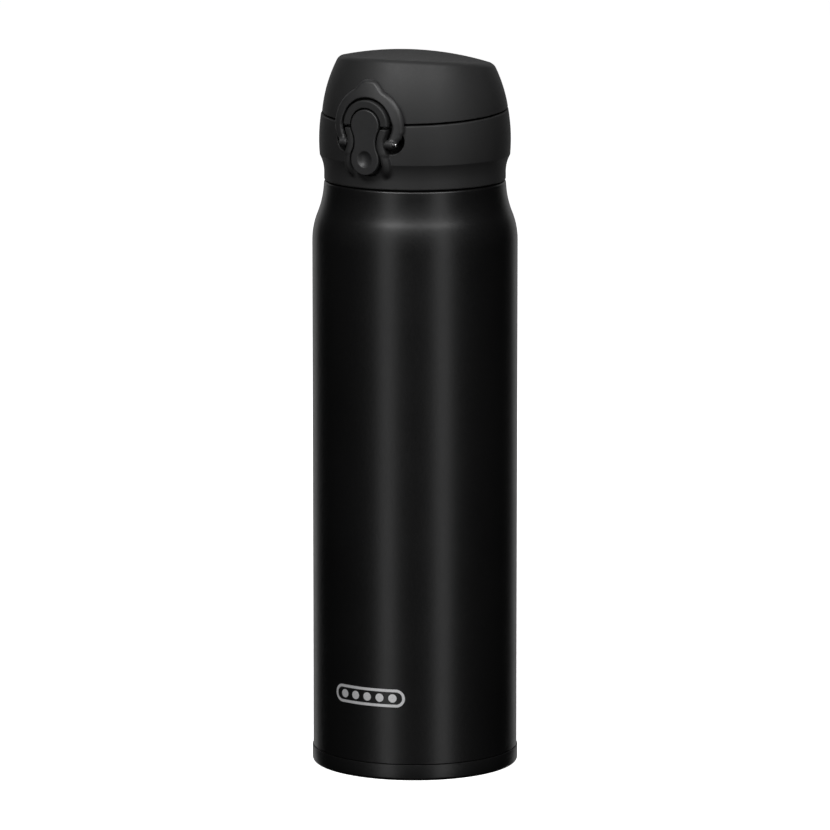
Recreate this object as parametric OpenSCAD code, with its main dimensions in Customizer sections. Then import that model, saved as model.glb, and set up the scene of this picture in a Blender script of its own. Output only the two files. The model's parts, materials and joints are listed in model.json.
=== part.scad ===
// Vacuum flask with a one-touch lid: a double-walled steel bottle, a screw-on cap unit with a
// drinking spout, a hinged lid, a rocker latch button and a swinging lock ring.
// Millimetres. The origin is on the axis at the base, +Z is up, the latch faces -Y and the
// lid's hinge is at +Y.

/* [Bottle] */
// Outer diameter of the straight body
body_d = 70; // [69:0.25:72]
// Height of the shoulder's top edge, where the cap unit starts
neck_z = 201.5; // [170:0.5:230]
// Thickness of the steel walls
steel = 0.5; // [0.4:0.05:0.6]
// Inner diameter of the mouth
mouth_d = 40; // [39:0.25:40]

/* [Cap unit] */
// Pitch of the thread between the bottle's neck and the cap unit
pitch = 4; // [3.8:0.1:4.4]
// Wall thickness of the moulded covers
cover = 1.8; // [1.6:0.1:2]
// Outer diameter of the drinking spout
spout_d = 24.8; // [24:0.2:25]
// Bore of the drinking spout
bore_d = 20.4; // [19:0.2:21]

/* [Lid] */
// Tilt of the parting plane between collar and lid, which is lower at the front
seam_tilt = 3; // [1:0.5:4]
// Gap between collar and lid
seam_gap = 0.5; // [0.4:0.1:0.8]
// Radius of the lid's domed top
dome_r = 104.5; // [95:0.5:115]

/* [Latch] */
// Diameter of the button's two round ends
button_d = 10.6; // [10:0.1:11]
// Width of the button's waist
waist_w = 7.9; // [7.4:0.1:8.4]
// Inner diameter of the lock ring
ring_id = 19.2; // [19:0.1:20]
// Outer diameter of the lock ring
ring_od = 26.2; // [25.4:0.1:27]

/* [Hidden] */
$fn = 96;
far = 200;                     // larger than the object, for half spaces

// bottle
body_r = body_d/2;
ring_step = 0.3;               // the base cover stands this much proud of the body
foot_step = 0.4;               // the shell narrows by this much inside the base cover
cover_z = 5.5;                 // top edge of the base cover
cover_round = 1.1;             // rounding of its lower edge
shoulder_z = neck_z - 20.5;    // where the straight body ends
bulge_r = 25;                  // convex arc of the shoulder
bulge_a = 22;
sweep_r = 30;                  // concave arc above it
sweep_a = 5;
bulge_c = [body_r - bulge_r, shoulder_z];
sweep_c = bulge_c + (bulge_r + sweep_r)*[cos(bulge_a), sin(bulge_a)];
sweep_end = sweep_c - sweep_r*[cos(sweep_a), sin(sweep_a)];
rim_r = 0.8;                   // rounding of the shoulder's top edge
rim_z = neck_z - rim_r;
rim_x = sweep_end.x - (rim_z + rim_r*sin(sweep_a) - sweep_end.y)*tan(sweep_a)
        - rim_r*cos(sweep_a);
mouth_r = mouth_d/2;
neck_r = mouth_r + 2.4;        // outside of the threaded neck
neck_fillet = 1.2;
lip_z = neck_z + 13;           // top of the shell's neck
vessel_r = body_r - 3.8;       // outside of the inner vessel
vessel_z = 9.5;                // its underside
vessel_corner = 9;

// thread: flank half widths, crest heights and extent
thread_root = 0.85;
thread_crest = 0.4;
male_crest = neck_r + 1.2;
male_z = neck_z + 3;
turns = 1.5;
thread_steps = 60;
female_root = neck_r + 2.1;
female_wall = neck_r + 1.8;
female_crest = neck_r + 0.5;
skirt_r = neck_r + 4.5;        // outside of the threaded skirt

// cap collar
collar_z = neck_z + 0.4;
cap_r = body_r - 2.4;          // widest radius of the collar
cap_widest = neck_z + 14;
cap_arc = 60;                  // crown of the collar's side
band_r = cap_r - 1.7;          // the narrower band at its foot
band_top = neck_z + 2.9;
step_top = neck_z + 9;         // the crease above it
step_arc = 13;                 // concave arc between the two
collar_in = cap_r - 3.6;       // inside, below the deck
collar_up = cap_r - 2.15;      // inside, above the deck
deck_z = neck_z + 17.7;
deck_t = 1.8;
seam_z = neck_z + 24.1;        // height of the parting plane on the axis

// stopper and spout
plug_r = spout_d/2 + 3.8;
plug_in = spout_d/2 + 0.9;
plug_z = neck_z + 3;
seal_z = neck_z + 4.5;
seal_h = 3.6;
seal_groove = plug_r - 0.95;
spout_top = neck_z + 35;

// lid side: an arc revolved about an axis that leans forward more than the parting plane does
lid_lean = 6;
lid_shift = 0.2;
side_c = [cap_r - 50.6, -6.3];
side_r = 50;
side_low = -4;
side_a = 38;                   // where the arc stops, above the dome
dome_c = [0, -9.8, neck_z + 44.97 - dome_r];
liner_z = spout_top + 2;
liner_r = 22;

// hinge
hinge_y = cap_r + 0.9;
hinge_z = neck_z + 20.5;
knuckle_r = 1.75;
hinge_pin_r = 0.8;
coil_half = 2.7;
lid_knuckle = [3, 6.7];
collar_knuckle = [7, 10.2];

// latch button: a keyhole outline between two round ends
end_r = button_d/2;
top_c = neck_z + 22.25;        // centre of the upper round end
low_c = neck_z + 10.7;         // centre of the lower one
half_h = (top_c - low_c)/2;
mid_c = (top_c + low_c)/2;
side_arc = (half_h*half_h + waist_w*waist_w/4 - end_r*end_r)/(2*end_r - waist_w);
side_x = side_arc + waist_w/2;
tangent_a = atan2(half_h, side_x);
face_y = -(cap_r + 1.4);       // the button's face
back_y = face_y + 1.8;
slit = 0.45;                   // gap round the button
rock_y = -(cap_r - 1.2);       // the rocker's pivot
rock_z = neck_z + 14.8;
boss_r = 1.6;
button_pin_r = 0.7;
flank_y = -(cap_r + 0.6);      // front of the flanks beside the button
flank_w = 3.2;
pocket_y = -(cap_r - 3.2);     // floor of the button's pocket
block_y = -(cap_r - 5.35);     // back of the block behind it
block_w = 19;
spring_r = 1.5;
spring_wire = 0.25;
spring_z = low_c - 2.4;
seat_y = pocket_y + 1;

// lock ring: an arch between two eyes, cut from a curved sheet that stands off the lid
arch_c = neck_z + 21.9;
arch_in = ring_id/2;
arch_out = ring_od/2;
tab_z = neck_z + 37.8;
tab_r = 3.4;
pivot_y = -(cap_r - 0.3);
pivot_z = neck_z + 16.1;
// back and front of that sheet, as radius and height: it leans back towards the lid
sheet_back = [[cap_r + 0.4, pivot_z - 2], [cap_r + 0.4, neck_z + 24.5],
              [cap_r - 0.2, neck_z + 31.1], [cap_r - 1.4, tab_z + 0.5]];
sheet_front = [[cap_r + 2.3, pivot_z - 2], [cap_r + 2.2, neck_z + 24.5],
               [cap_r + 1.4, neck_z + 31.1], [cap_r, tab_z + 0.5]];
eye_r = 1.35;
eye_x = [7.95, 12];
eye_room = 2.6;                // radius of the recess that each eye turns in
ring_pin_r = 0.7;
lip_in = end_r + slit;         // the lid's lip round the button's upper end
lip_out = 8.5;

// points of an arc about c, from angle a to angle b
function arc(c, r, a, b, n = 10) =
    [for (i = [0:n]) let (t = a + (b - a)*i/n) c + r*[cos(t), sin(t)]];
function flip(list) = [for (i = [len(list) - 1:-1:0]) list[i]];

// the bottle's outline from the body's foot to the lip, moved inwards by o
function shell_line(o) = concat(
    [[body_r - foot_step - o, 2], [body_r - foot_step - o, cover_z - 0.1],
     [body_r - o, cover_z + 0.3]],
    arc(bulge_c, bulge_r - o, 0, bulge_a, 12),
    [for (p = arc(sweep_c, sweep_r + o, 180 + bulge_a, 180 + sweep_a, 12)) p],
    arc([rim_x, rim_z], rim_r - o, sweep_a, 90, 6),
    arc([neck_r + neck_fillet, neck_z + neck_fillet], neck_fillet + o, 270, 180, 6),
    [[neck_r - o, lip_z]]);

// the inner vessel's shoulder and neck, moved inwards by o
function neck_line(o) = concat(
    arc([vessel_r - 14, shoulder_z], 14 - o, 0, 60, 8),
    [[mouth_r + steel - o + 2, neck_z - 5.5 - o], [mouth_r + steel - o, neck_z - 3 - o]]);

// the dish of its floor, moved inwards by o
function dish_line(o) = concat([[0, vessel_z + o]],
    arc([vessel_r - vessel_corner, vessel_z + vessel_corner], vessel_corner - o, 270, 360, 8));

// the keyhole outline of the button, grown by g
function keyhole(g) = concat(
    arc([0, top_c], end_r + g, -tangent_a, 180 + tangent_a, 24),
    arc([-side_x, mid_c], side_arc - g, tangent_a, -tangent_a, 8),
    arc([0, low_c], end_r + g, 180 - tangent_a, 360 + tangent_a, 24),
    arc([side_x, mid_c], side_arc - g, 180 + tangent_a, 180 - tangent_a, 8));

// half the outline of the housing that flares out beside the button
flare_half = [[0, top_c + 4], [lip_out - 0.2, top_c + 4], [8, top_c - 2],
              [6.9, top_c - 5], [6.8, top_c - 7.6], [7.8, low_c + 2.2], [9.2, low_c],
              [9.7, low_c - 2.4], [8.4, low_c - 4.8], [5.2, low_c - 6.2], [0, low_c - 6.9]];

// a ring about the axis
module hoop(r_in, r_out, z_low, z_high) {
    rotate_extrude() translate([r_in, z_low]) square([r_out - r_in, z_high - z_low]);
}

// an outline in the XZ plane, extruded between two values of y
module front(y_low, y_high) {
    translate([0, y_high, 0]) rotate([90, 0, 0]) linear_extrude(y_high - y_low) children();
}

// a rod along X between two values of x
module rod(x_low, x_high, y, z, r) {
    translate([x_low, y, z]) rotate([0, 90, 0]) cylinder(r = r, h = x_high - x_low, $fn = 48);
}

// everything on one side of the parting plane, lift above it: side 1 is above, -1 below
module half_space(side, lift) {
    translate([0, 0, seam_z]) rotate([seam_tilt, 0, 0])
        translate([-far/2, -far/2, side > 0 ? lift : lift - far]) cube(far);
}

// one start of a screw thread between a root and a crest radius
module thread(root, crest, z_start) {
    section = [[0, -thread_root], [1, -thread_crest], [1, thread_crest], [0, thread_root]];
    points = [for (i = [0:thread_steps], p = section)
        let (a = 360*turns*i/thread_steps,
             grow = min(1, 0.12 + min(i, thread_steps - i)/5),
             r = root + (crest - root)*p.x*grow)
        [r*cos(a), r*sin(a), z_start + pitch*a/360 + p.y]];
    sides = [for (i = [0:thread_steps - 1], k = [0:3])
        let (a = 4*i + k, b = 4*i + (k + 1) % 4) crest > root
            ? [a, b, b + 4, a + 4] : [a + 4, b + 4, b, a]];
    last = 4*thread_steps;
    ends = crest > root ? [[3, 2, 1, 0], [last, last + 1, last + 2, last + 3]]
                        : [[0, 1, 2, 3], [last + 3, last + 2, last + 1, last]];
    polyhedron(points, concat(sides, ends), convexity = 8);
}

// a round wire wound into a coil about Z
module coil(r, wire, z_low, z_high, count) {
    steps = 14*count;
    sides = 6;
    points = [for (i = [0:steps], k = [0:sides - 1])
        let (a = 360*count*i/steps, t = 360*k/sides,
             z = z_low + wire + (z_high - z_low - 2*wire)*i/steps)
        [(r + wire*cos(t))*cos(a), (r + wire*cos(t))*sin(a), z + wire*sin(t)]];
    walls = [for (i = [0:steps - 1], k = [0:sides - 1])
        let (a = sides*i + k, b = sides*i + (k + 1) % sides) [a, b, b + sides, a + sides]];
    low = [for (k = [sides - 1:-1:0]) k];
    high = [for (k = [0:sides - 1]) sides*steps + k];
    polyhedron(points, concat([for (w = walls) flip(w)], [flip(low)], [flip(high)]),
               convexity = 8);
}

// ---------------------------------------------------------------- bottle

module outer_shell() color("#1b1b1c") {
    rotate_extrude() polygon(concat(shell_line(0), flip(shell_line(steel))));
    thread(neck_r - 0.2, male_crest, male_z);
}

// the inner vessel is a tube with a drawn neck and a dished floor welded to its ends
module inner_neck() color("silver") rotate_extrude() polygon(concat(neck_line(0),
    [[mouth_r + steel, lip_z], [neck_r + 0.3, lip_z], [neck_r + 0.3, lip_z + steel],
     [mouth_r, lip_z + steel]], flip(neck_line(steel))));

module inner_wall() color("silver")
    hoop(vessel_r - steel, vessel_r, vessel_z + vessel_corner, shoulder_z);

module inner_floor() color("silver") rotate_extrude()
    polygon(concat(dish_line(0), flip(dish_line(steel))));

module heat_foil() color("#c9874f") hoop(vessel_r + 0.1, vessel_r + 0.35, 22, shoulder_z - 3);

module end_plate() color("#a8a9aa") difference() {
    rotate_extrude() polygon([[0, 5.6], [8, 5.6], [10, 3.6], [body_r - 1.8, 3.6],
        [body_r - 1.8, 2.2], [body_r - foot_step - steel - 0.05, 2.2],
        [body_r - foot_step - steel - 0.05, 4.2], [10.3, 4.2], [8.3, 6.2], [0, 6.2]]);
    translate([0, 0, 5]) cylinder(r = 1.2, h = 2, $fn = 32);
}

module seal_bead() color("#d8d2b4") {
    translate([0, 0, 5.6]) cylinder(r = 1.18, h = 0.6, $fn = 32);
    translate([0, 0, 6.2]) cylinder(r1 = 3, r2 = 1.6, h = 0.9, $fn = 32);
}

module getter() color("#6d6f70") translate([19, 0, 4.2]) {
    cylinder(r = 4.5, h = 1.4, $fn = 48);
    cylinder(r = 2.2, h = 2, $fn = 48);
}

module base_cover() color("#1b1b1c") {
    ring_r = body_r + ring_step;
    rotate_extrude() polygon(concat(
        [[0, 1.3], [28, 1.3], [29.3, 0]],
        arc([ring_r - cover_round, cover_round], cover_round, 270, 360, 6),
        [[ring_r, cover_z], [ring_r - steel, cover_z]],
        arc([ring_r - cover_round, cover_round], cover_round - steel, 360, 270, 6),
        [[29.5, steel], [28.2, 1.3 + steel], [0, 1.3 + steel]]));
}

module base_label() color("#b9babb") translate([0, 0, 1]) cylinder(r = 19, h = 0.3);

// ---------------------------------------------------------------- cap unit

module stopper_gasket() color("#d9d9d6") rotate_extrude() polygon([
    [seal_groove + 0.06, seal_z + 0.1], [mouth_r - 1.6, seal_z + 0.1],
    [mouth_r - 0.35, seal_z + 0.7], [mouth_r - 0.07, seal_z + 1.5],
    [mouth_r - 0.5, seal_z + 2], [mouth_r - 0.07, seal_z + 2.5],
    [mouth_r - 0.6, seal_z + seal_h - 0.1], [seal_groove + 0.06, seal_z + seal_h - 0.1]]);

// the collar's plain side, closed inside by a wall with a ledge for the deck
module collar_side() {
    outer = concat(
        [[band_r - 0.4, collar_z], [band_r - 0.1, collar_z + 0.15], [band_r, collar_z + 0.5]],
        arc([band_r + step_arc, band_top], step_arc, 180,
            180 - asin((step_top - band_top)/step_arc), 6),
        arc([cap_r - cap_arc, cap_widest], cap_arc, -4.4, 13.5, 10));
    rotate_extrude() polygon(concat(outer,
        [[collar_up, cap_widest + cap_arc*sin(13.5)], [collar_up, deck_z],
         [collar_in, deck_z], [collar_in, collar_z]]));
}

// flanks and flared housing round the button, with the block that carries its pivot
module latch_housing() {
    front(flank_y, -28) intersection() {
        polygon(keyhole(flank_w));
        translate([-10, low_c - 1]) square([20, 30]);
    }
    front(flank_y + 1.1, -28)
        polygon(concat(flare_half, flip([for (p = flare_half) if (p.x > 0) [-p.x, p.y]])));
    translate([-block_w/2, -30.6, neck_z + 3.5])
        cube([block_w, 30.6 + block_y, deck_z - neck_z - 3.5]);
}

module latch_pocket() {
    front(-40, -(cap_r - 0.9)) polygon(keyhole(slit));
    front(-40, pocket_y) intersection() {
        polygon(keyhole(slit));
        translate([-20, low_c - 20]) square([40, rock_z + 1.9 - low_c + 20]);
    }
    translate([0, pocket_y - 0.1, spring_z]) rotate([-90, 0, 0])
        cylinder(r = spring_r + 0.5, h = 1.1, $fn = 32);
}

module cap_collar() color("#232324") {
    difference() {
        intersection() {
            union() {
                collar_side();
                latch_housing();
            }
            half_space(-1, -seam_gap/2);
        }
        translate([0, 0, deck_z]) cylinder(r = collar_up, h = far);
        latch_pocket();
        rod(-7.2, 7.2, rock_y, rock_z, button_pin_r + 0.01);
        for (s = [-1, 1]) {
            rod(min(s*4.9, s*14), max(s*4.9, s*14), pivot_y, pivot_z, ring_pin_r + 0.01);
            rod(min(s*7.65, s*13.2), max(s*7.65, s*13.2), pivot_y, pivot_z - 0.4, eye_room);
        }
        rod(-collar_knuckle.x, collar_knuckle.x, hinge_y, hinge_z, knuckle_r + 0.3);
    }
    for (s = [-1, 1]) difference() {
        union() {
            rod(min(s*collar_knuckle.x, s*collar_knuckle.y),
                max(s*collar_knuckle.x, s*collar_knuckle.y), hinge_y, hinge_z, knuckle_r);
            translate([s > 0 ? collar_knuckle.x : -collar_knuckle.y, cap_r - 2.4,
                       hinge_z - knuckle_r])
                cube([collar_knuckle.y - collar_knuckle.x, 3.3, 2*knuckle_r]);
        }
        rod(-20, 20, hinge_y, hinge_z, hinge_pin_r + 0.01);
    }
}

module stopper_core() color("#2b2b2d") {
    difference() {
        union() {
            hoop(female_wall, skirt_r, neck_z + 1.5, deck_z + 0.1);
            hoop(plug_in, collar_up - 0.1, deck_z, deck_z + deck_t);
            hoop(plug_in, plug_r, plug_z, deck_z + 0.1);
        }
        hoop(seal_groove, plug_r + 1, seal_z, seal_z + seal_h);
    }
    thread(female_root, female_crest, male_z + pitch/2);
}

module spout() color("#2f2f31") rotate_extrude() polygon(concat(
    [[bore_d/2, plug_z + 2], [spout_d/2, plug_z + 2], [spout_d/2, plug_z + 4],
     [spout_d/2 - 0.9, plug_z + 4], [spout_d/2 - 0.9, plug_z + 6], [spout_d/2, plug_z + 6],
     [spout_d/2, deck_z + deck_t], [spout_d/2 + 4.4, deck_z + deck_t],
     [spout_d/2 + 4.4, deck_z + deck_t + 0.9], [spout_d/2 + 3.9, deck_z + deck_t + 1.4],
     [spout_d/2 + 0.8, deck_z + deck_t + 1.4], [spout_d/2, deck_z + deck_t + 2.2],
     [spout_d/2, spout_top - 3.4]],
    arc([spout_d/2 - 0.7, spout_top - 1.1], 1.1, 0, 90, 5),
    arc([bore_d/2 + 1.1, spout_top - 1.1], 1.1, 90, 180, 5)));

module spout_gasket() color("#d9d9d6") rotate_extrude() polygon([
    [spout_d/2 - 0.87, plug_z + 4.05], [plug_in - 0.5, plug_z + 4.05],
    [plug_in - 0.03, plug_z + 5], [plug_in - 0.5, plug_z + 5.95],
    [spout_d/2 - 0.87, plug_z + 5.95]]);

module button_pin() color("#b8babc") rod(-7.1, 7.1, rock_y, rock_z, button_pin_r);

module button_spring() color("#c3c5c7") translate([0, back_y, spring_z]) rotate([-90, 0, 0])
    coil(spring_r, spring_wire, 0.02, seat_y - back_y - 0.02, 4);

module ring_pin_left() color("#b8babc") rod(-12.3, -5, pivot_y, pivot_z, ring_pin_r);
module ring_pin_right() color("#b8babc") rod(5, 12.3, pivot_y, pivot_z, ring_pin_r);

module hinge_pin() color("#b8babc") rod(-10, 10, hinge_y, hinge_z, hinge_pin_r);

// a torsion spring round the hinge pin, with a leg that lies on the collar
module hinge_spring() color("#c3c5c7") translate([-coil_half, hinge_y, hinge_z])
    rotate([0, 90, 0]) coil(1.35, 0.28, 0, 2*coil_half, 6);

// ---------------------------------------------------------------- lid

// the lid's side and domed top, shrunk by o, running on below the parting plane
module lid_solid(o) intersection() {
    translate([0, -lid_shift, seam_z]) rotate([lid_lean, 0, 0]) rotate_extrude()
        polygon(concat([[0, side_low]],
            arc(side_c, side_r - o, asin((side_low - side_c.y)/(side_r - o)), side_a, 14),
            [[0, side_c.y + (side_r - o)*sin(side_a)]]));
    translate(dome_c) sphere(r = dome_r - o, $fn = 180);
}

// a half annulus round the button's upper end, its face following the lid's side
module lid_lip() {
    intersection() {
        front(-40, -30) difference() {
            translate([0, top_c]) circle(r = lip_out, $fn = 64);
            translate([0, top_c]) circle(r = lip_in, $fn = 64);
        }
        half_space(1, seam_gap/2);
        translate([0, 0, neck_z + 20])
            cylinder(r1 = cap_r + 0.45, r2 = cap_r - 0.45, h = 12, $fn = 180);
    }
}

module lid_shell() color("#232324") {
    difference() {
        union() {
            difference() {
                intersection() {
                    lid_solid(0);
                    half_space(1, seam_gap/2);
                }
                lid_solid(cover);
            }
            lid_lip();
            for (s = [-1, 1]) lid_arm(s);
        }
        rod(-20, 20, hinge_y, hinge_z, hinge_pin_r + 0.05);
    }
}

// one arm from the lid's rear wall down to the hinge
module lid_arm(s) {
    x = s > 0 ? lid_knuckle.x : -lid_knuckle.y;
    w = lid_knuckle.y - lid_knuckle.x;
    rod(x, x + w, hinge_y, hinge_z, knuckle_r);
    translate([x, cap_r - 0.02, hinge_z]) cube([w, hinge_y + knuckle_r - cap_r - 0.1, 8]);
    translate([x, cap_r - 2.7, hinge_z + 6.6]) cube([w, 4.2, 2.6]);
}

module lid_liner() color("#3a3a3c") intersection() {
    difference() {
        union() {
            hoop(0, liner_r, liner_z, liner_z + 1.4);
            hoop(liner_r - 1.6, liner_r, liner_z, seam_z + 30);
            hoop(5.2, 6.6, liner_z, liner_z + 3);
        }
        translate([0, 0, liner_z - 1]) cylinder(r = 3.1, h = 4, $fn = 48);
    }
    translate(dome_c) sphere(r = dome_r - cover - 0.05, $fn = 180);
}

module lid_gasket() color("#d9d9d6") rotate_extrude() polygon([
    [0, spout_top - 2.5], [bore_d/2 - 2, spout_top - 2.5], [bore_d/2 - 0.95, spout_top],
    [spout_d/2 + 0.6, spout_top + 0.1], [spout_d/2 + 0.6, spout_top + 1.2],
    [spout_d/2, liner_z - 0.02], [3, liner_z - 0.02], [3, liner_z + 1.45],
    [4.4, liner_z + 1.45], [3.6, liner_z + 2.6], [0, liner_z + 2.6]]);

// ---------------------------------------------------------------- latch

module latch_button() color("#29292a") difference() {
    union() {
        front(face_y, back_y) polygon(keyhole(0));
        rod(-waist_w/2 + 0.2, waist_w/2 - 0.2, rock_y, rock_z, boss_r);
        translate([0, back_y - 0.1, spring_z]) rotate([-90, 0, 0])
            cylinder(r = 0.9, h = 1.2, $fn = 32);
    }
    rod(-20, 20, rock_y, rock_z, button_pin_r + 0.05);
    translate([0, face_y - 3.85, low_c]) sphere(r = 4.85, $fn = 64);
}

// the ring's outline: an open arch with a thumb tab and two feet
module ring_outline() {
    difference() {
        union() {
            difference() {
                translate([0, arch_c]) circle(r = arch_out);
                translate([-20, pivot_z - 30]) square([40, 30]);
            }
            polygon([[-7.5, arch_c + 10.6], [-tab_r - 0.8, tab_z - 3], [-tab_r, tab_z - 1.6],
                     [-tab_r + 1.3, tab_z - 0.3], [0, tab_z], [tab_r - 1.3, tab_z - 0.3],
                     [tab_r, tab_z - 1.6], [tab_r + 0.8, tab_z - 3], [7.5, arch_c + 10.6]]);
        }
        translate([0, arch_c]) circle(r = arch_in);
        translate([-eye_x.x, pivot_z - 30]) square([2*eye_x.x, 36]);
    }
}

module lock_ring() color("#262627") difference() {
    union() {
        intersection() {
            front(-40, -20) ring_outline();
            rotate_extrude($fn = 180) polygon(concat(sheet_back, flip(sheet_front)));
        }
        for (s = [-1, 1]) rod(min(s*eye_x.x, s*eye_x.y), max(s*eye_x.x, s*eye_x.y),
                              pivot_y, pivot_z, eye_r);
    }
    rod(-20, 20, pivot_y, pivot_z, ring_pin_r + 0.05);
}

outer_shell();
inner_neck();
inner_wall();
inner_floor();
heat_foil();
end_plate();
seal_bead();
getter();
base_cover();
base_label();
stopper_gasket();
cap_collar();
stopper_core();
spout();
spout_gasket();
button_pin();
button_spring();
ring_pin_left();
ring_pin_right();
hinge_pin();
hinge_spring();
lid_shell();
lid_liner();
lid_gasket();
latch_button();
lock_ring();
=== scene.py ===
"""Looks for the vacuum flask: smooth moulded meshes, materials, light and camera.

Lengths are in millimetres until a mesh is made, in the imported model's frame: the base is at
z = 0, the latch faces -Y and the lid's hinge is at +Y.
"""
import json
import math

import bpy
import numpy as np
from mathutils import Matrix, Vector


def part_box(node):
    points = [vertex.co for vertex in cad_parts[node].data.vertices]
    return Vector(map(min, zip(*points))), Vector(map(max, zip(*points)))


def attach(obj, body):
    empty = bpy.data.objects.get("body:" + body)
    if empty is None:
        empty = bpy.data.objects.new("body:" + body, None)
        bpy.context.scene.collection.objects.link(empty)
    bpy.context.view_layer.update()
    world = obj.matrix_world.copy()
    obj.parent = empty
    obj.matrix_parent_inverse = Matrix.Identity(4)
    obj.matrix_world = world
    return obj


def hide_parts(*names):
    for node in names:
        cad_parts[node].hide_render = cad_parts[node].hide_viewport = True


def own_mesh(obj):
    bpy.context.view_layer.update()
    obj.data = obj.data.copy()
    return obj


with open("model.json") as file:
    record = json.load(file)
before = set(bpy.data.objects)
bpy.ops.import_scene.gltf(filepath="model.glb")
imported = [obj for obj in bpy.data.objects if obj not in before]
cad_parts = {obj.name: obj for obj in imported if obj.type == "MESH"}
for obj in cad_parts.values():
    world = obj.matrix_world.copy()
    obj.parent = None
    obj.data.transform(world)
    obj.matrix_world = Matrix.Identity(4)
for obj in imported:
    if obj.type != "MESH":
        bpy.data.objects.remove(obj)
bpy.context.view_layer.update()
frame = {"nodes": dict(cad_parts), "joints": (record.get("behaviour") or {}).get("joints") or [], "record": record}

MM = 0.001

# ------------------------------------------------------------------ sizes, from the frame


def corners(node):
    """Lowest and highest corner of a CAD node, in mm."""
    low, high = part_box(node)
    return np.array(low) / MM, np.array(high) / MM


def axis_of(joint):
    """The y and z that a joint's axis passes through, in mm."""
    place = {j["name"]: j for j in frame["joints"]}[joint]["pos_m"]
    return place[1] / MM, place[2] / MM


BODY_R = corners("outer_shell")[1][0]
NECK_Z = corners("cap_collar")[0][2] - 0.4
CAP_R = corners("cap_collar")[1][0]
TOP_Z = corners("lid_shell")[1][2]
HINGE_Y, HINGE_Z = axis_of("lid_hinge")
ROCK_Y, ROCK_Z = axis_of("button_rock")
RING_Y, RING_Z = axis_of("ring_swing")

SEAM_Z = NECK_Z + 24.1             # height of the parting plane on the axis
SEAM_TILT = math.radians(3)
SEAM_GAP = 0.62
COVER = 1.8                        # wall of the mouldings
STEEL = 0.5                        # wall of the outer shell and the base cover
DECK_Z = NECK_Z + 17.7             # the stopper's deck, seen when the lid is open

FACE_Y = -(CAP_R + 1.4)            # front of the latch button
TOP_C = NECK_Z + 22.25             # centres of the button's round ends
LOW_C = NECK_Z + 10.7
END_R = 5.3
WAIST = 3.95                       # half the button's width at its waist
SLIT = 0.55                        # gap round the button
FLANK = 2.9                        # width of the flanks beside the button
FRAME_Y = FACE_Y + 0.4             # front of the flanks and of the lid's lip
LIP_Z = SEAM_Z - 2.95              # the flanks end here
LIP_GAP = 0.95                     # and the lid's lip begins this much higher

RECESS_X = 8.7                     # the round recesses for the ring's feet
RECESS_Z = NECK_Z + 17
RECESS_R = 4.3

KNUCKLE_R = 1.75                   # the hinge's knuckles
LID_KNUCKLE = (3, 6.7)             # and where they begin and end beside the middle
COLLAR_KNUCKLE = (7, 10.2)
PIN_R = 0.7

CAMERA_AZ = 30                     # degrees round from the front, towards +X

# ------------------------------------------------------------------ mesh kit


def finish_mesh(name, mesh, body, material, replaces):
    """Makes an object of a mesh and ties it to its CAD body and nodes."""
    thing = bpy.data.objects.new(name, mesh)
    bpy.context.scene.collection.objects.link(thing)
    mesh.materials.append(material)
    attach(thing, body)
    if replaces:
        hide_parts(*replaces)
    return thing


def mesh_of(name, points, faces, sharp_angle=None):
    """A smooth-shaded mesh from points in mm; edges sharper than the angle stay sharp."""
    mesh = bpy.data.meshes.new(name)
    mesh.from_pydata((np.asarray(points) * MM).tolist(), [], faces)
    mesh.validate()
    mesh.polygons.foreach_set("use_smooth", np.ones(len(mesh.polygons), bool))
    if sharp_angle is not None:
        mesh.set_sharp_from_angle(angle=math.radians(sharp_angle))
    mesh.update()
    return mesh


def lathe(outline, steps=192, closed=True):
    """Points and faces of an outline of (radius, z) turned about Z."""
    outline = np.asarray(outline, float)
    count = len(outline)
    turn = np.linspace(0, 2 * math.pi, steps, endpoint=False)
    radius, height = outline[:, 0], outline[:, 1]
    points = np.stack([np.outer(np.cos(turn), radius), np.outer(np.sin(turn), radius),
                       np.tile(height, (steps, 1))], -1).reshape(-1, 3)
    faces = []
    for i in range(steps):
        here, there = i * count, (i + 1) % steps * count
        for k in range(count if closed else count - 1):
            after = (k + 1) % count
            faces.append((here + k, there + k, there + after, here + after))
    return weld(points, faces)


def weld(points, faces):
    """Joins points that coincide and drops the faces that this leaves without an area."""
    keys = np.round(points, 4)
    _, first, index = np.unique(keys, axis=0, return_index=True, return_inverse=True)
    index = index.ravel()
    kept = []
    for face in faces:
        ring = [int(index[k]) for k in face]
        ring = [k for n, k in enumerate(ring) if k != ring[n - 1]]
        if len(ring) > 2:
            kept.append(ring)
    return points[first], kept


def bend(centre, radius, start, end, count=8):
    """Points of an arc in (radius, z), angles in degrees."""
    angles = np.radians(np.linspace(start, end, count + 1))
    return [(centre[0] + radius * math.cos(a), centre[1] + radius * math.sin(a)) for a in angles]


def tube(path, radius, sides=12):
    """A round wire along a path of points, closed at both ends."""
    path = np.asarray(path, float)
    along = np.gradient(path, axis=0)
    along /= np.linalg.norm(along, axis=1)[:, None]
    side = np.cross(along[0], (0.31, 0.87, 0.39))
    points = []
    for place, ahead in zip(path, along):
        side = side - ahead * side.dot(ahead)
        side /= np.linalg.norm(side)
        up = np.cross(ahead, side)
        for k in range(sides):
            a = 2 * math.pi * k / sides
            points.append(place + radius * (math.cos(a) * side + math.sin(a) * up))
    faces = []
    for i in range(len(path) - 1):
        for k in range(sides):
            here, after = i * sides + k, i * sides + (k + 1) % sides
            faces.append((here, after, after + sides, here + sides))
    last = (len(path) - 1) * sides
    faces += [tuple(range(sides - 1, -1, -1)), tuple(range(last, last + sides))]
    return np.array(points), faces


# ------------------------------------------------------------------ distance fields
#
# A field takes arrays x, y, z and gives a distance, negative inside. surface_net() turns
# its zero level into quads and then moves every point onto that level.


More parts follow.
